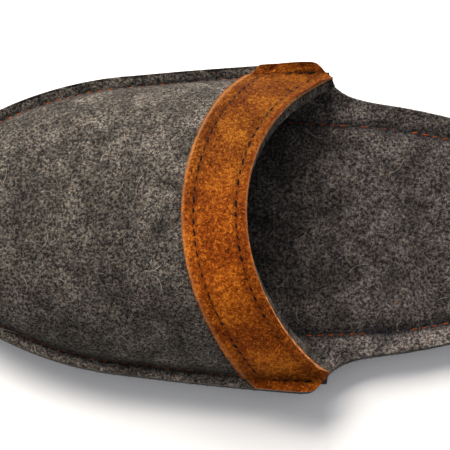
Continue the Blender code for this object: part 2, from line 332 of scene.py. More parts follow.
def vamp_top(points):
    """The vamp's outer face: a flat sewn flange, a rounded valley at the seam, and an arch inside it."""
    back, out = back_of(points), np.abs(points[..., 1])
    settled = np.clip((back - TUCK_START) / (WING_CORNER - TUCK_START), 0, 1) ** 2
    tuck = WING_TUCK * settled
    seam = np.maximum(sewn_out(back, SEAM_INSET) - tuck, 1e-6)
    flange = ground(points) + OUTSOLE_THICKNESS + FOOTBED_THICKNESS + 2 * CLEARANCE + FLANGE_THICKNESS
    share = np.minimum(out / seam, 1)
    ease = smooth_step(np.clip((back - EASE_START) / (EASE_END - EASE_START), 0, 1))
    power = ARCH_POWER + (WING_POWER - ARCH_POWER) * ease
    arch = smooth_through(RIDGE, back) * (1 - share**2) ** power
    beyond = SEAM_INSET + tuck - distance_to(SEWN_EDGE, points)
    over_foot = (share < 1) & (back > SEAM_INSET)
    rise = np.where(over_foot, arch, -SEAM_SLOPE * np.maximum(beyond, 0))
    return soft_max(flange, flange + rise, SEAM_FILLET * (1 + (WING_EASE - 1) * ease))


def arc_back(out, front_back, radius):
    """How far back an arc lies that is centred on the middle line behind its foremost point."""
    return front_back + radius - np.sqrt(radius**2 - out**2)


def ahead_of_arc(points, front_back, radius):
    """How far ahead of such an arc each point lies, below zero behind it."""
    return np.hypot(back_of(points) - front_back - radius, points[..., 1]) - radius


def arc_end(front_back, radius):
    """(back, out) where such an arc meets the outline."""
    low, high = 0.040, min(radius, 0.060) - 1e-5  # one place inside the outline, one outside
    for _ in range(40):
        out = (low + high) / 2
        inside = out < outline_out(arc_back(out, front_back, radius))
        low, high = (out, high) if inside else (low, out)
    return arc_back(out, front_back, radius), out


THROAT_END = arc_end(THROAT_BACK, THROAT_RADIUS)
BAND_FRONT_END = arc_end(BAND_FRONT_BACK, BAND_FRONT_RADIUS)


def seam_end():
    """How far back the vamp's seam runs before it meets the slanted cut."""
    back = np.linspace(WING_CORNER, 0.150, 400)
    return back[np.argmax(outline_out(back) < sewn_out(back, SEAM_INSET))]


# Relief of the cloth


def swells(points, seed):
    """The felt's gentle unevenness, the same on every run."""
    cells = SWELL_CELLS
    lattice = np.random.default_rng(seed).uniform(-1, 1, (len(SWELLS), cells, cells))
    height = np.zeros(points.shape[:-1])
    for layer, (size, tall) in zip(lattice, SWELLS):
        at = points / size + 40
        cell = np.floor(at).astype(int)
        t = smooth_step(at - cell)
        x, y = cell[..., 0], cell[..., 1]
        near = layer[x % cells, y % cells] * (1 - t[..., 0]) + layer[(x + 1) % cells, y % cells] * t[..., 0]
        y = y + 1
        far = layer[x % cells, y % cells] * (1 - t[..., 0]) + layer[(x + 1) % cells, y % cells] * t[..., 0]
        height += tall * (near * (1 - t[..., 1]) + far * t[..., 1])
    return height


def past_seam(points):
    """How far inside the vamp's seam each point lies, below zero on its flange."""
    return distance_to(SEWN_EDGE, points) - SEAM_INSET


def past_flange(points):
    """0 where two layers are sewn flat on each other, 1 clear of them."""
    clear = past_seam(points) - SWELL_START
    behind = back_of(points) - WING_CORNER - SWELL_START_BEHIND
    return np.clip(np.maximum(clear, behind) / SWELL_FADE, 0, 1)


def vamp_swollen(points):
    """The vamp's outer face with its swells, as the suede that spans its seam lies on it."""
    return vamp_top(points) + swells(points, VAMP_SEED) * past_flange(points)


def vamp_skin(points):
    """The vamp's outer face with its swells and the valley that its thread pulls."""
    return vamp_swollen(points) - SEAM_PULL * nearness(past_seam(points), SEAM_PULL_WIDTH)


def footbed_skin(points):
    return footbed_top(points) + swells(points, FOOTBED_SEED) * past_flange(points)


def band_edges(points):
    """How far ahead of the band's rear edge and of its front edge each point lies."""
    rear = ahead_of_arc(points, THROAT_BACK, THROAT_RADIUS)
    return rear, ahead_of_arc(points, BAND_FRONT_BACK, BAND_FRONT_RADIUS)


def seam_nearness(points):
    """How near a point lies to the vamp's seam, from 0 to 1."""
    return nearness(past_seam(points), SEAM_ZONE)


def groove_nearness(points):
    """How near a point lies to the footbed's stitched line, from 0 to 1."""
    return nearness(distance_to(STITCH_LINE, points), GROOVE_ZONE)


def edge_nearness(points):
    """How near a point of the band lies to its front or rear edge, from 0 to 1."""
    rear, front = band_edges(points)
    return nearness(np.minimum(np.abs(rear), np.abs(front)), WORN_EDGE)


def row_nearness(points):
    """How near a point of the band lies to a stitch row, from 0 to 1."""
    rear, front = band_edges(points)
    to_row = np.minimum(np.abs(rear - ROW_INSET), np.abs(front + ROW_INSET))
    return nearness(np.minimum(to_row, np.abs(past_seam(points))), ROW_DENT_WIDTH)


def dark_rear_line(points):
    """Where a line beside the band's rear edge is painted darker red-brown, strongest on the slipper's right.
    """
    line = nearness(band_edges(points)[0] - REAR_LINE_INSET, REAR_LINE_WIDTH)
    return line * np.clip(0.55 - points[..., 1] / 0.08, 0.2, 1)


def outside_seam(points):
    """1 on the vamp's sewn flange, 0 inside its seam."""
    return np.clip(-past_seam(points) / SEAM_ZONE, 0, 1)


def outside_groove(points):
    """1 on the footbed's margin, 0 inside its stitched line."""
    beyond = np.abs(points[..., 1]) - stitch_out(back_of(points))
    return np.clip(beyond / GROOVE_MARGIN, 0, 1)


def raised(points, height):
    """Plan points with a height from one of the functions above."""
    return np.concatenate([points, height(points)[..., None]], axis=-1)


def normals(points, height, step=0.0003):
    """Upward unit normals of a height function."""
    along_x = (height(points + (step, 0)) - height(points - (step, 0))) / (2 * step)
    along_y = (height(points + (0, step)) - height(points - (0, step))) / (2 * step)
    normal = np.stack([-along_x, -along_y, np.ones_like(along_x)], axis=-1)
    return normal / np.linalg.norm(normal, axis=-1, keepdims=True)


def offsets(points, height):
    """Steps of unit thickness off a surface: along its normal, but upright at the flush cut sewn edge."""
    normal = normals(points, height)
    share = np.clip(depth(points) / SEAM_INSET, 0, 1)[..., None]
    upright = np.zeros_like(normal)
    upright[..., 2] = 1 / normal[..., 2]
    return share * normal + (1 - share) * upright


# Meshes


def run_along(points):
    """How far along a line each of its points lies."""
    return np.concatenate([[0], np.cumsum(np.linalg.norm(np.diff(points, axis=0), axis=1))])


def even_backs(last, spacing):
    """Places along the length whose points on the outline lie that far apart."""
    back = LENGTH / 2 * (1 - np.cos(np.linspace(0, np.pi, 4001)))
    back = np.append(back[back < last], last)
    run = run_along(plan(back, outline_out(back)))
    return np.interp(np.linspace(0, run[-1], int(run[-1] / spacing) + 1), run, back)


def sheet(name, upper, lower, materials, rounding, closed=False):
    """A solid between two grids of points, with rounded cut edges. Its rim takes the last material."""
    rows, columns = upper.shape[:2]
    mesh = bmesh.new()
    top, bottom = [[[mesh.verts.new(point) for point in row] for row in grid] for grid in (upper, lower)]
    spans = columns if closed else columns - 1
    for i in range(rows - 1):
        for j in range(spans):
            k = (j + 1) % columns
            mesh.faces.new((top[i][j], top[i][k], top[i + 1][k], top[i + 1][j]))
            mesh.faces.new((bottom[i][j], bottom[i + 1][j], bottom[i + 1][k], bottom[i][k]))
    rims = [(top[0][::-1], bottom[0][::-1])]
    if closed:
        rims = [(row + row[:1], below + below[:1]) for row, below in rims]
    else:
        rims.append((top[-1], bottom[-1]))
        rims.append(([row[0] for row in top], [row[0] for row in bottom]))
        rims.append(([row[-1] for row in top[::-1]], [row[-1] for row in bottom[::-1]]))
    corners = []
    for above, below in rims:
        for a, b, c, d in zip(above[:-1], above[1:], below[1:], below[:-1]):
            face = mesh.faces.new((a, b, c, d))
            face.material_index = len(materials) - 1
            corners += [mesh.edges.get((a, b)), mesh.edges.get((c, d))]
    if closed:
        spine = [vertex for grid in (top, bottom) for vertex in grid[-1]]
        bmesh.ops.remove_doubles(mesh, verts=spine, dist=2e-6)
    rounded = {"offset": rounding, "segments": 3, "profile": 0.5, "affect": "EDGES", "clamp_overlap": True}
    bmesh.ops.bevel(mesh, geom=corners, **rounded)
    if mesh.calc_volume(signed=True) < 0:
        bmesh.ops.reverse_faces(mesh, faces=mesh.faces)
    data = bpy.data.meshes.new(name)
    mesh.to_mesh(data)
    mesh.free()
    data.shade_smooth()
    for material in materials:
        data.materials.append(material)
    return placed(name, data)


def marked(piece, name, amount):
    """Stores on each vertex how much of something amount(plan points) gives there, from 0 to 1."""
    places = np.zeros(len(piece.data.vertices) * 3, np.float32)
    piece.data.vertices.foreach_get("co", places)
    value = amount(places.reshape(-1, 3)[:, :2].astype(float))
    layer = piece.data.attributes.new(name, "FLOAT", "POINT")
    layer.data.foreach_set("value", value.astype(np.float32))
    return piece


def placed(name, data):
    piece = bpy.data.objects.new(name, data)
    bpy.context.scene.collection.objects.link(piece)
    return piece


def sole_rings(outer_rows, inner_rows, spacing):
    """Rings of plan points from the outline in to the stitched line, and on to a spine on the middle line."""
    share = even_backs(LENGTH, spacing) / LENGTH
    edge = plan(share * LENGTH, outline_out(share * LENGTH))

    def stitched(offset):
        toe, heel = STITCH_TOE_TIP - offset, STITCH_HEEL_TIP + offset
        back = toe + share * (heel - toe)
        return plan(back, stitch_out(back, offset))

    reach = GROOVE_WIDTH * 1.5
    outside, inside = stitched(reach), stitched(-reach)
    rings = [edge + t * (outside - edge) for t in np.linspace(0, 1, outer_rows)]
    rings += [stitched(reach * t) for t in (0.66, 0.33, 0, -0.33, -0.66)]
    rings += [inside * (1, 1 - t) for t in np.linspace(0, 1, inner_rows)]
    return np.array([both_sides(ring) for ring in rings])


def felt_outsole(materials):
    rings = sole_rings(outer_rows=7, inner_rows=8, spacing=0.0016)
    upper, lower = raised(rings, outsole_top), raised(rings, ground)
    return sheet("felt_outsole", upper, lower, materials, EDGE_ROUNDING, closed=True)


def felt_footbed(materials):
    rings = sole_rings(outer_rows=8, inner_rows=26, spacing=0.0013)
    upper, lower = raised(rings, footbed_skin), raised(rings, footbed_underside)
    footbed = sheet("felt_footbed", upper, lower, materials, EDGE_ROUNDING, closed=True)
    # sewn: where painted shade darkens the groove; margin: where painted light brightens the rim outside it
    return marked(marked(footbed, "sewn", groove_nearness), "margin", outside_groove)


def felt_vamp(materials):
    """The arched sheet of felt: rows from its sewn edge in to the throat, columns from wing to wing."""
    back = even_backs(WING_CORNER, spacing=0.0013)
    share = back / WING_CORNER
    edge = plan(back, outline_out(back))
    seam_back = SEAM_INSET + share * (seam_end() - SEAM_INSET)
    seam = plan(seam_back, sewn_out(seam_back, SEAM_INSET))
    run = run_along(edge)
    throat_out = THROAT_RADIUS * np.sin(run / run[-1] * np.arcsin(THROAT_END[1] / THROAT_RADIUS))
    throat = plan(arc_back(throat_out, THROAT_BACK, THROAT_RADIUS), throat_out)
    flange = [edge + t * (seam - edge) for t in (0, 0.25, 0.5, 0.7, 0.85)]
    climb = np.linspace(0, 1, 76) ** 1.35  # finer near the seam
    arch = [seam + t * (throat - seam) for t in climb]
    side = np.array(flange + arch)
    points = np.concatenate([side[:, ::-1], (side * (1, -1))[:, 1:]], axis=1)
    outer = raised(points, vamp_skin)
    inner = outer - VAMP_THICKNESS * normals(points, vamp_skin)
    inner[: len(flange), :, :2] = points[: len(flange)]
    # The inner face lies square below the outer one, but turns upright toward the throat
    square = np.concatenate([np.ones(len(flange)), np.clip((1 - climb) / 0.1, 0, 1)])
    square[-1] = THROAT_LEAN
    inner[..., 0] = outer[..., 0] + square[:, None] * (inner[..., 0] - outer[..., 0])
    seat = footbed_skin(inner[..., :2]) + CLEARANCE
    inner[..., 2] = np.maximum(inner[..., 2], seat)
    inner[: len(flange), :, 2] = seat[: len(flange)]
    vamp = sheet("felt_vamp", outer, inner, materials, EDGE_ROUNDING)
    # sewn: where painted shade darkens the seam's valley; margin: where painted light brightens the flange
    return marked(marked(vamp, "sewn", seam_nearness), "margin", outside_seam)


def band_points(rows, columns):
    """Plan points of the band: rows from its front edge back to the throat, columns from wing to wing."""
    even = np.linspace(0, 1, columns)
    along = even - 0.6 * np.sin(2 * np.pi * even) / (2 * np.pi)
    across = np.concatenate([[0], np.linspace(0.028, 0.972, rows - 2), [1]])

    def arc(end, front_back, radius):
        out = radius * np.sin((1 - 2 * along) * np.arcsin(end[1] / radius))
        return plan(arc_back(out, front_back, radius), out)

    front = arc(BAND_FRONT_END, BAND_FRONT_BACK, BAND_FRONT_RADIUS)
    rear = arc(THROAT_END, THROAT_BACK, THROAT_RADIUS)
    end_back = BAND_FRONT_END[0] + across * (THROAT_END[0] - BAND_FRONT_END[0])
    left = plan(end_back, outline_out(end_back))
    c, v = across[:, None, None], along[None, :, None]
    ruled = (1 - c) * front + c * rear + (1 - v) * left[:, None] + v * (left * (1, -1))[:, None]
    corners = (1 - c) * ((1 - v) * front[0] + v * front[-1]) + c * ((1 - v) * rear[0] + v * rear[-1])
    return ruled - corners


def suede_band(materials):
    """The suede strip on the vamp's rear margin, dented along its stitch rows."""
    points = band_points(rows=34, columns=201)
    base, step = raised(points, vamp_swollen), offsets(points, vamp_swollen)
    relief = SUEDE_SWELL * swells(points, SUEDE_SEED)
    thickness = CLEARANCE + SUEDE_THICKNESS - ROW_DENT * row_nearness(points) + relief
    outer = base + thickness[..., None] * step
    inner = base + CLEARANCE * step
    band = sheet("suede_band", outer, inner, materials, SUEDE_ROUNDING)
    # sewn: painted shade in the stitch valleys; margin: painted light on the flange; dye: a darker red-brown
    # line beside the rear edge
    zones = (("sewn", row_nearness), ("edge", edge_nearness), ("margin", outside_seam), ("dye", dark_rear_line))
    for name, amount in zones:
        marked(band, name, amount)
    return band


# Stitches and fibres


def add(tree, kind, inputs=None, **settings):
    """Adds a node with its settings, and sets or links its inputs. A node as a value is its first output."""
    made = tree.nodes.new(kind)
    for name, value in settings.items():
        setattr(made, name, value)
    for socket, value in (inputs or {}).items():
        target = made.inputs[socket]
        if isinstance(value, bpy.types.Node):
            value = value.outputs[0]
        if isinstance(value, bpy.types.NodeSocket):
            tree.links.new(value, target)
        else:
            target.default_value = value
    return made


def geometry_tree(name, sizes):
    """A new geometry tree with a named float input for each size. Returns the tree and its input node."""
    tree = bpy.data.node_groups.new(name, "GeometryNodeTree")
    tree.interface.new_socket("Geometry", in_out="INPUT", socket_type="NodeSocketGeometry")
    for size in sizes:
        tree.interface.new_socket(size, in_out="INPUT", socket_type="NodeSocketFloat")
    tree.interface.new_socket("Geometry", in_out="OUTPUT", socket_type="NodeSocketGeometry")
    return tree, add(tree, "NodeGroupInput")


def grown(name, base, tree, sizes, material):
    """The plain mesh that a geometry tree makes of a base mesh."""
    for node in tree.nodes:
        if node.bl_idname == "GeometryNodeSetMaterial":
            node.inputs["Material"].default_value = material
    source = placed(name + "_base", base)
    modifier = source.modifiers.new("grow", "NODES")
    modifier.node_group = tree
    for item in tree.interface.items_tree:
        if item.in_out == "INPUT" and item.name in sizes:
            modifier[item.identifier] = float(sizes[item.name])
    bpy.context.view_layer.update()
    ready = source.evaluated_get(bpy.context.evaluated_depsgraph_get())
    data = bpy.data.meshes.new_from_object(ready)
    bpy.data.objects.remove(source)
    data.name = name
    return placed(name, data)


def one_mesh(tree, instances):
    """Ends a tree: its instances become one smooth mesh of the piece's material."""
    real = add(tree, "GeometryNodeRealizeInstances", {"Geometry": instances})
    smooth = add(tree, "GeometryNodeSetShadeSmooth", {"Geometry": real})
    clad = add(tree, "GeometryNodeSetMaterial", {"Geometry": smooth})
    add(tree, "NodeGroupOutput", {"Geometry": clad})
    return tree


def turned(tree, instances, angle):
    """Instances turned about their own upright axes."""
    turn = add(tree, "ShaderNodeCombineXYZ", {"Z": angle})
    inputs = {"Instances": instances, "Rotation": turn}
    return add(tree, "GeometryNodeRotateInstances", inputs)


def stitch_tree():
    """Stitches along a line of points: one slanted, sunk thread bead at each pitch."""
    tree, given = geometry_tree("stitches", ("Pitch", "Length", "Width", "Slant", "Sink", "Seed"))
    line = add(tree, "GeometryNodeMeshToCurve", {"Mesh": given.outputs["Geometry"]})
    pitched = {"Curve": line, "Length": given.outputs["Pitch"]}
    stops = add(tree, "GeometryNodeResampleCurve", pitched, mode="LENGTH")
    tangent = add(tree, "GeometryNodeInputTangent")
    outward = add(tree, "GeometryNodeInputNamedAttribute", {"Name": "outward"}, data_type="FLOAT_VECTOR")
    facing = add(
        tree,
        "FunctionNodeAxesToRotation",
        {"Primary Axis": outward.outputs["Attribute"], "Secondary Axis": tangent},
        primary_axis="Z",
        secondary_axis="X",
    )
    bead = add(tree, "GeometryNodeMeshUVSphere", {"Segments": 10, "Rings": 7, "Radius": 0.5})
    size = add(
        tree,
        "ShaderNodeCombineXYZ",
        {"X": given.outputs["Length"], "Y": given.outputs["Width"], "Z": given.outputs["Width"]},
    )
    thread = add(tree, "GeometryNodeTransform", {"Geometry": bead, "Scale": size})
    seed = add(tree, "FunctionNodeFloatToInt", {0: given.outputs["Seed"]})
    vary = add(
        tree,
        "FunctionNodeRandomValue",
        {"Min": (0.8, 0.85, 0.85), "Max": (1.12, 1.15, 1.1), "Seed": seed.outputs[0]},
        data_type="FLOAT_VECTOR",
    )
    strung = {"Points": stops, "Instance": thread, "Rotation": facing, "Scale": vary.outputs["Value"]}
    beads = add(tree, "GeometryNodeInstanceOnPoints", strung)
    slanted = turned(tree, beads, given.outputs["Slant"])
    depths = {2: -1.0, 3: 0.1, "Seed": seed.outputs[0]}
    deep = add(tree, "FunctionNodeRandomValue", depths, data_type="FLOAT")
    sink = add(tree, "ShaderNodeMath", {0: deep.outputs[1], 1: given.outputs["Sink"]}, operation="MULTIPLY")
    down = add(tree, "ShaderNodeCombineXYZ", {"Z": sink})
    sunk = add(tree, "GeometryNodeTranslateInstances", {"Instances": slanted, "Translation": down})
    return one_mesh(tree, sunk)


def stitch_row(name, tree, points, outward, sizes, material):
    """A row of stitches along 3-D points, each with its outward direction."""
    base = bpy.data.meshes.new(name)
    base.from_pydata([tuple(p) for p in points], [(i, i + 1) for i in range(len(points) - 1)], [])
    layer = base.attributes.new("outward", "FLOAT_VECTOR", "POINT")
    layer.data.foreach_set("vector", np.asarray(outward, np.float32).ravel())
    return grown(name, base, tree, sizes, material)


def fibre_tree():
    """Short bent fibres scattered over a surface, lying nearly flat."""
    tree, given = geometry_tree("fibres", ("Density", "Length", "Radius", "Bend", "Rise", "Seed"))
    hairy = add(tree, "GeometryNodeInputNamedAttribute", {"Name": "hairy"}, data_type="FLOAT")
    dense = add(
        tree,
        "ShaderNodeMath",
        {0: hairy.outputs["Attribute"], 1: given.outputs["Density"]},
        operation="MULTIPLY",
    )
    seed = add(tree, "FunctionNodeFloatToInt", {0: given.outputs["Seed"]})
    roots = add(
        tree,
        "GeometryNodeDistributePointsOnFaces",
        {"Mesh": given.outputs["Geometry"], "Density": dense, "Seed": seed.outputs[0]},
        distribute_method="RANDOM",
    )
    tip = add(tree, "ShaderNodeCombineXYZ", {"X": given.outputs["Length"], "Z": given.outputs["Rise"]})
    half = add(tree, "ShaderNodeMath", {0: given.outputs["Length"], 1: 0.5}, operation="MULTIPLY")
    middle = add(
        tree,
        "ShaderNodeCombineXYZ",
        {"X": half, "Y": given.outputs["Bend"], "Z": given.outputs["Rise"]},
    )
    path = add(
        tree,
        "GeometryNodeCurveQuadraticBezier",
        {"Resolution": 4, "Start": (0, 0, 0), "Middle": middle, "End": tip},
    )
    ring = add(tree, "GeometryNodeCurvePrimitiveCircle", {"Resolution": 3, "Radius": given.outputs["Radius"]})
    hair = add(tree, "GeometryNodeCurveToMesh", {"Curve": path, "Profile Curve": ring, "Fill Caps": True})
    turn = {2: 0.0, 3: 6.2832, "Seed": seed.outputs[0]}
    spin = add(tree, "FunctionNodeRandomValue", turn, data_type="FLOAT")
    scale = add(
        tree,
        "FunctionNodeRandomValue",
        {"Min": (0.5, -1.2, 0.6), "Max": (1.3, 1.2, 1.2), "Seed": seed.outputs[0]},
        data_type="FLOAT_VECTOR",
    )
    rooted = {"Points": roots, "Instance": hair, "Rotation": roots.outputs["Rotation"]}
    hairs = add(tree, "GeometryNodeInstanceOnPoints", rooted)
    spun = turned(tree, hairs, spin.outputs[1])
    sized = add(tree, "GeometryNodeScaleInstances", {"Instances": spun, "Scale": scale.outputs["Value"]})
    return one_mesh(tree, sized)


def fibres(name, tree, surface, hairy, sizes, material):
    """Fibres on the part of a piece that hairy(centres, normals) marks from 0 to 1."""
    base = surface.data.copy()
    base.name = name + "_skin"
    base.materials.clear()
    count = len(base.vertices)
    places, facing = np.zeros(count * 3, np.float32), np.zeros(count * 3, np.float32)
    base.vertices.foreach_get("co", places)
    base.vertex_normals.foreach_get("vector", facing)
    amount = hairy(places.reshape(-1, 3), facing.reshape(-1, 3))
    layer = base.attributes.new("hairy", "FLOAT", "POINT")
    layer.data.foreach_set("value", np.asarray(amount, np.float32))
    return grown(name, base, tree, sizes, material)


def facing_up(facing):
    """1 on faces that look up, still a half on upright ones."""
    return np.clip(2 * facing[:, 2] + 0.5, 0, 1)


def on_vamp(places, facing):
    """The vamp's outer face in front of the band."""
    out = np.minimum(np.abs(places[:, 1]), BAND_FRONT_RADIUS * 0.9)
    ahead = LENGTH / 2 - places[:, 0] < arc_back(out, BAND_FRONT_BACK, BAND_FRONT_RADIUS) - BAND_SETBACK
    return ahead * facing_up(facing)


def on_footbed(places, facing):
    """The footbed's upper face and rim behind the vamp's seat."""
    return (LENGTH / 2 - places[:, 0] > BED_FIBRES_BACK) * facing_up(facing)


def on_rim(places, facing):
    """A layer's cut edge."""
    return np.clip(1 - 2 * np.abs(facing[:, 2]), 0, 1)


# Materials


def colour(code):
    """Linear colour from an sRGB hex value."""
    parts = np.array([int(code[i : i + 2], 16) for i in (1, 3, 5)]) / 255
    bright = np.where(parts <= 0.04045, parts / 12.92, ((parts + 0.055) / 1.055) ** 2.4)
    return (*bright, 1.0)


def new_material(name):
    """An empty material. Returns it with its tree and its shader."""
    material = bpy.data.materials.new(name)
    material.use_nodes = True
    return material, material.node_tree, material.node_tree.nodes["Principled BSDF"]


def surfaced(tree, shader, base, constants, height=None, strength=0.0, distance=0.0):
    """Gives a shader its base colour, its constants and, with a height, its bump."""
    tree.links.new(base, shader.inputs["Base Color"])
    if height is not None:
        bump = add(tree, "ShaderNodeBump", {"Height": height, "Strength": strength, "Distance": distance})
        tree.links.new(bump.outputs["Normal"], shader.inputs["Normal"])
    for name, value in constants.items():
        shader.inputs[name].default_value = value


def object_place(tree):
    return add(tree, "ShaderNodeTexCoord").outputs["Object"]


def attribute(tree, name):
    return add(tree, "ShaderNodeAttribute", attribute_name=name).outputs["Fac"]


def noise(tree, place, scale, detail, roughness=0.5):
    """A noise whose scale is in waves to the metre."""
    inputs = {"Vector": place, "Scale": scale, "Detail": detail, "Roughness": roughness}
    return add(tree, "ShaderNodeTexNoise", inputs).outputs["Fac"]


def drifted(tree, place, scale, reach):
    """Places pushed about by a coarse noise, so that no grain runs straight."""
    drift = add(tree, "ShaderNodeTexNoise", {"Vector": place, "Scale": scale, "Detail": 2.0})
    pushed = add(tree, "ShaderNodeVectorMath", {0: drift.outputs["Color"], "Scale": reach}, operation="SCALE")
    return add(tree, "ShaderNodeVectorMath", {0: place, 1: pushed.outputs[0]}, operation="ADD").outputs[0]


def mixed(tree, share, dark, light, **settings):
    """A blend of two colours."""
    inputs = {"Factor": share, "A": dark, "B": light}
    return add(tree, "ShaderNodeMix", inputs, data_type="RGBA", **settings).outputs["Result"]


def between(tree, value, low, high, start=0.0, end=1.0):
    """A value's range stretched smoothly to another."""
    made = add(
        tree,
        "ShaderNodeMapRange",
        {"Value": value, "From Min": low, "From Max": high, "To Min": start, "To Max": end},
        interpolation_type="SMOOTHSTEP",
    )
    return made.outputs["Result"]


def combined(tree, operation, a, b):
    return add(tree, "ShaderNodeMath", {0: a, 1: b}, operation=operation).outputs["Value"]


def product(tree, a, b):
    return combined(tree, "MULTIPLY", a, b)


def fibre_lines(tree, place, scale, width, shift):
    """Thin light lines about a fibre's width, where a noise crosses its middle."""
    moved = add(tree, "ShaderNodeMapping", {"Vector": place, "Location": (shift, -shift, shift * 0.5)})
    off_middle = combined(tree, "SUBTRACT", noise(tree, moved.outputs[0], scale, 1.0), 0.5)
    return between(tree, combined(tree, "ABSOLUTE", off_middle, 0.0), 0.0, width, 1.0, 0.0)


def melange_felt(name, dark_cool, dark_warm, light, shift, painted_margin_light=1.0):
    """Pressed melange wool: light and dark fibres tangled every way, with no gloss and a soft halo. Light is
    painted onto its sewn margin, and shade along its stitched valleys.
    """
    material, tree, shader = new_material(name)
    moved = {"Vector": object_place(tree), "Location": (shift, shift * 0.7, shift * 0.3)}
    place = add(tree, "ShaderNodeMapping", moved).outputs[0]
    bent = drifted(tree, place, 420.0, 0.0022)
    tangle = 0.0
    for scale, width, offset, strength in FELT_STRANDS:
        lines = fibre_lines(tree, bent, scale, width, offset)
        tangle = combined(tree, "MAXIMUM", product(tree, lines, strength), tangle)
    clumps = between(tree, noise(tree, place, 1000.0, 4.0, 0.75), 0.39, 0.62, 0.03, 1.0)
    amount = product(tree, tangle, clumps)
    tint = between(tree, noise(tree, bent, 1250.0, 1.0), 0.42, 0.6)
    wool = mixed(tree, amount, mixed(tree, tint, colour(dark_cool), colour(dark_warm)), colour(light))

    # Broad clouds, and painted light that lifts the turned-up margin outside the seam out of its shade
    clouds = between(tree, noise(tree, place, 110.0, 5.0, 0.62), 0.36, 0.66, 0.55, 1.35)
    margin = between(tree, attribute(tree, "margin"), 0.0, 1.0, 1.0, painted_margin_light)
    shade = product(tree, clouds, margin)
    grey = add(tree, "ShaderNodeCombineColor", {"Red": shade, "Green": shade, "Blue": shade})
    clouded = mixed(tree, 1.0, wool, grey.outputs["Color"], blend_type="MULTIPLY")

    # Small rust brown flecks in some of the cells, and painted shade along the stitched valleys
    cells = add(tree, "ShaderNodeTexVoronoi", {"Vector": bent, "Scale": 150.0})
    drawn = add(tree, "ShaderNodeSeparateColor", {"Color": cells.outputs["Color"]}).outputs["Red"]
    small = between(tree, cells.outputs["Distance"], 0.045, 0.06, 1.0, 0.0)
    fleck = product(tree, small, combined(tree, "GREATER_THAN", drawn, 0.78))
    flecked = mixed(tree, fleck, clouded, colour("#8a4520"))
    sewn = product(tree, attribute(tree, "sewn"), 0.6)
    seam_shaded = mixed(tree, sewn, flecked, colour(dark_cool))

    fuzz = product(tree, noise(tree, place, 1900.0, 2.0), 0.5)
    height = combined(tree, "ADD", amount, fuzz)
    constants = {
        "Roughness": 0.95,
        "Specular IOR Level": 0.12,
        "Sheen Weight": 0.12,
        "Sheen Roughness": 0.45,
        "Sheen Tint": colour("#b8ada2"),
    }
    surfaced(tree, shader, seam_shaded, constants, height, strength=0.55, distance=0.0003)
    return material


def napped_suede(name, dark, middle, light, worn):
    """Split leather with a short nap raised by brushing: matt, mottled where the nap lies one way or the
    other. Light is painted onto its shaded side and its sewn margin, and shade along its stitch rows.
    """
    material, tree, shader = new_material(name)
    place = object_place(tree)
    bent = drifted(tree, place, 260.0, 0.003)
    nap = product(tree, noise(tree, bent, 2100.0, 3.0, 0.7), 0.45)
    tufts = product(tree, noise(tree, bent, 800.0, 2.0, 0.6), 0.3)
    strokes = product(tree, noise(tree, place, 90.0, 3.0, 0.6), 0.25)
    tone = combined(tree, "ADD", combined(tree, "ADD", nap, tufts), strokes)
    low = mixed(tree, between(tree, tone, 0.39, 0.5), colour(dark), colour(middle))
    high = mixed(tree, between(tree, tone, 0.49, 0.6), low, colour(light))
    # Painted shade in the valleys of the stitch rows and the seam
    sewn = product(tree, attribute(tree, "sewn"), 0.45)
    seam_shaded = mixed(tree, sewn, high, colour(dark))

    # Painted light: brighter across to the slipper's left, away from the key light, less again near that
    # wing's fold, and brighter on the sewn margin; the right, under the key light, is painted a little darker
    across = add(tree, "ShaderNodeSeparateXYZ", {"Vector": place}).outputs["Y"]
    rising = between(tree, across, -0.03, 0.03)
    falling = between(tree, across, 0.044, 0.052, 0.0, 0.6)
    margin = product(tree, attribute(tree, "margin"), 0.35)
    fill_share = combined(tree, "ADD", combined(tree, "SUBTRACT", rising, falling), margin)
    painted_fill = mixed(tree, fill_share, PAINTED_LIT_SIDE_TONE, PAINTED_SHADE_SIDE_FILL, clamp_factor=False)
    lit = mixed(tree, 1.0, seam_shaded, painted_fill, blend_type="MULTIPLY")

    # A darker red-brown line beside the band's rear edge
    line = product(tree, attribute(tree, "dye"), 0.8)
    lined = mixed(tree, line, lit, colour("#4c1204"))
    edge = product(tree, attribute(tree, "edge"), 0.45)
    edged = mixed(tree, edge, lined, colour(worn))
    constants = {
        "Roughness": 0.9,
        "Specular IOR Level": 0.06,
        "Sheen Weight": 0.15,
        "Sheen Roughness": 0.4,
        "Sheen Tint": colour("#c47a30"),
    }
    surfaced(tree, shader, edged, constants, tone, strength=0.7, distance=0.0005)
    return material


def twisted_thread(name, dark, light):
    """Waxed sewing thread: fine slanting plies with a low gloss."""
    material, tree, shader = new_material(name)
    plies = noise(tree, object_place(tree), 1800.0, 1.0)
    dye = mixed(tree, between(tree, plies, 0.35, 0.65), colour(dark), colour(light))
    constants = {"Roughness": 0.8, "Specular IOR Level": 0.1}
    surfaced(tree, shader, dye, constants, plies, strength=0.5, distance=0.0002)
    return material


def loose_wool(name, dark, light):
    """Single wool fibres, some paler than others."""
    material, tree, shader = new_material(name)
    lot = noise(tree, object_place(tree), 260.0, 1.0)
    dye = mixed(tree, between(tree, lot, 0.4, 0.6), colour(dark), colour(light))
    surfaced(tree, shader, dye, {"Roughness": 0.8, "Specular IOR Level": 0.2})
    return material


# Stage


def stood(right, up, back, place):
    """Matrix of a lamp or camera at a place, from its own axes."""
    return Matrix([*zip(right, up, back, place), (0, 0, 0, 1)])


def aim(place, toward):
    """Matrix of a lamp at a place that shines toward a point."""
    back = (place - toward) / np.linalg.norm(place - toward)
    right = np.cross((0, 0, 1), back)
    right /= np.linalg.norm(right)
    return stood(right, np.cross(back, right), back, place)


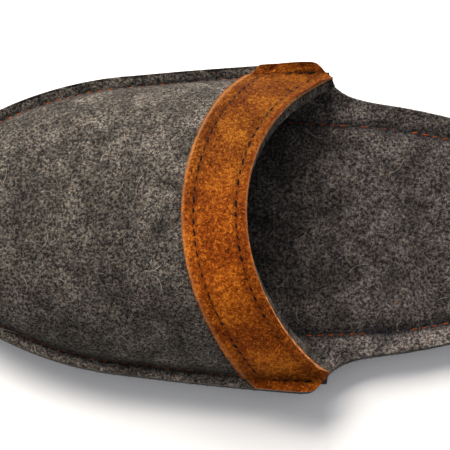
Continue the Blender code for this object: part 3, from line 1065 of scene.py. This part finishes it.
def lamp(name, azimuth, elevation, distance, size, power, tint):
    """A square soft light, round the slipper from +X by its azimuth."""
    a, e = np.radians(azimuth), np.radians(elevation)
    toward = np.array([np.cos(a) * np.cos(e), np.sin(a) * np.cos(e), np.sin(e)])
    data = bpy.data.lights.new(name, "AREA")
    data.size = size
    data.energy = power
    data.color = colour(tint)[:3]
    placed(name, data).matrix_world = aim(CAMERA_TARGET + distance * toward, CAMERA_TARGET)


def studio():
    """A pale floor and room, and one soft key light from the slipper's right, a little toward the toe."""
    material, _, shader = new_material("pale floor")
    shader.inputs["Base Color"].default_value = colour("#f4f4f4")
    shader.inputs["Roughness"].default_value = 0.9
    data = bpy.data.meshes.new("floor")
    half = 3.0
    corners = [(-half, -half, 0), (half, -half, 0), (half, half, 0), (-half, half, 0)]
    data.from_pydata(corners, [], [(0, 1, 2, 3)])
    data.materials.append(material)
    floor = placed("floor", data)
    lamp("key", azimuth=-64, elevation=36, distance=1.4, size=1.2, power=57, tint="#fff8f0")
    world = bpy.data.worlds.new("room")
    bpy.context.scene.world = world
    world.use_nodes = True
    background = world.node_tree.nodes["Background"].inputs
    background["Color"].default_value = colour("#f4f5f9")
    background["Strength"].default_value = 0.48
    bpy.context.scene.view_settings.view_transform = "Standard"


def camera():
    """The photograph's view: nearly straight down, with the toe to the left."""
    back = np.array([np.sin(CAMERA_TILT_BACK), np.sin(CAMERA_TILT_SIDE), 1.0])
    back /= np.linalg.norm(back)
    right = np.array([-1.0, 0.0, 0.0])
    right -= back * (right @ back)
    right /= np.linalg.norm(right)
    up = np.cross(back, right)
    c, s = np.cos(CAMERA_ROLL), np.sin(CAMERA_ROLL)
    across, upward = c * right + s * up, c * up - s * right
    place = CAMERA_TARGET + CAMERA_DISTANCE * back
    data = bpy.data.cameras.new("camera")
    data.sensor_width = SENSOR
    data.lens = CAMERA_FOCAL_PIXELS / FRAME_PIXELS * SENSOR
    data.clip_start = 0.01
    made = placed("camera", data)
    made.matrix_world = stood(across, upward, back, place)
    bpy.context.scene.camera = made


# Seams


def inset_line(line, distance):
    """A line moved that far to its inner side, which is toward the slipper's middle."""
    along = np.gradient(line, axis=0)
    side = np.stack([-along[:, 1], along[:, 0]], axis=-1)
    side /= np.linalg.norm(side, axis=-1, keepdims=True)
    side *= np.sign((side * -line).sum(-1))[:, None]
    return line + distance * side


def row_on(points, skin, lift):
    """3-D points and outward directions of a row that lies on a surface."""
    outward = normals(points, skin)
    return raised(points, skin) + lift * outward, outward


def arc_row(front_back, radius, reach):
    """Plan points along one of the band's arcs, that far out on both sides."""
    out = radius * np.sin(np.linspace(-1, 1, 161) * np.arcsin(reach / radius))
    return plan(arc_back(out, front_back, radius), out)


def band_skin(points):
    """The suede's outer face, for laying stitches on it."""
    thick = CLEARANCE + SUEDE_THICKNESS - ROW_DENT * row_nearness(points)
    steepest = 0.25  # upright share of a normal, below which the step up grows no further
    return vamp_swollen(points) + thick / np.clip(normals(points, vamp_swollen)[..., 2], steepest, 1)


def seams(rust, brown):
    """All the stitch rows, each one piece."""
    tree = stitch_tree()
    size = {
        "Pitch": STITCH_PITCH,
        "Length": STITCH_LENGTH,
        "Width": THREAD_WIDTH,
        "Slant": STITCH_SLANT,
        "Sink": STITCH_SINK,
    }
    rows = []

    def row(name, points, skin, lift, sizes, thread):
        rows.append(stitch_row(name, tree, *row_on(points, skin, lift), {**size, **sizes}, thread))

    sewn = inset_line(SEWN_EDGE, SEAM_INSET)
    back, band_start = back_of(sewn), BAND_FRONT_END[0]
    row("thread_vamp_seam", sewn[back < band_start - SEAM_GAP], vamp_skin, 0.0, {"Seed": 5}, rust)
    under_band = (back > band_start + SEAM_GAP) & (back < WING_CORNER)
    for name, side in (("thread_wing_left", 1), ("thread_wing_right", -1)):
        wing = sewn[under_band & (sewn[:, 1] * side > 0)]
        row(name, wing, band_skin, WING_THREAD_LIFT, {"Seed": 9}, brown)
    front = arc_row(BAND_FRONT_BACK + ROW_INSET, BAND_FRONT_RADIUS - ROW_INSET, FRONT_ROW_OUT)
    rear = arc_row(THROAT_BACK - ROW_INSET, THROAT_RADIUS + ROW_INSET, REAR_ROW_OUT)
    row("thread_band_front", front, band_skin, 0.0, {"Seed": 11}, brown)
    row("thread_band_rear", rear, band_skin, 0.0, {"Seed": 12}, brown)
    under = {"Width": BED_THREAD_WIDTH, "Sink": BED_STITCH_SINK, "Seed": 14}
    row("thread_footbed", STITCH_LINE, footbed_skin, BED_THREAD_LIFT, under, rust)
    return rows


# Put together


def show(piece, slot, *nodes):
    """The piece rides with the slipper and stands for the nodes given, which it hides. The slot is not used.
    """
    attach(piece, "root")
    if nodes:
        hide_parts(*nodes)
    return piece


def main():
    """Makes the materials, every piece, the studio and the camera."""
    # The last numbers 1.55 and 1.6 are the painted light on the sewn margins
    grey = melange_felt("grey melange wool felt", "#0a0e15", "#20130c", "#7b756b", 0.0, 1.55)
    bed_name = "grey melange wool felt of the footbed"
    bed_grey = melange_felt(bed_name, "#090c15", "#1f120d", "#716b65", 0.4, 1.6)
    charcoal = melange_felt("dark pressed wool felt", "#08090b", "#0e0b0a", "#3c3835", 0.9)
    suede = napped_suede("tan suede", "#2c1001", "#592b06", "#8a5615", "#a9764a")
    cut = napped_suede("cut edge of the suede", "#6b4220", "#8a5f38", "#a9805a", "#a9764a")
    rust = twisted_thread("rust brown thread", "#4e200b", "#80401d")
    brown = twisted_thread("dark brown thread", "#060201", "#180a05")
    wool = loose_wool("loose grey fibres", "#2e2b29", "#78716a")
    pale = loose_wool("pale guard hairs", "#9a938a", "#c8c0b5")

    outsole = show(felt_outsole([charcoal]), "outsole", "outsole")
    footbed = show(felt_footbed([bed_grey]), "footbed", "footbed")
    vamp = show(felt_vamp([grey]), "vamp", "vamp")
    show(suede_band([suede, cut]), "throat_band", "throat_band")
    for row in seams(rust, brown):
        show(row, "footbed" if "footbed" in row.name else "vamp")

    # Densities are counts to the square metre
    tree = fibre_tree()
    fuzz = {"Density": 4.5e5, "Length": 0.0014, "Radius": 3.2e-5, "Bend": 0.0005, "Rise": 0.00025, "Seed": 31}
    guard = {"Density": 4.2e3, "Length": 0.0065, "Radius": 4.5e-5, "Bend": 0.0025, "Rise": 0.0005, "Seed": 47}
    show(fibres("fuzz_vamp", tree, vamp, on_vamp, fuzz, wool), "vamp")
    show(fibres("fuzz_footbed", tree, footbed, on_footbed, {**fuzz, "Seed": 32}, wool), "footbed")
    show(fibres("fuzz_outsole", tree, outsole, on_rim, {**fuzz, "Seed": 33}, wool), "outsole")
    show(fibres("guard_hairs_vamp", tree, vamp, on_vamp, guard, pale), "vamp")
    show(fibres("guard_hairs_footbed", tree, footbed, on_footbed, {**guard, "Seed": 48}, pale), "footbed")
    studio()
    camera()


main()
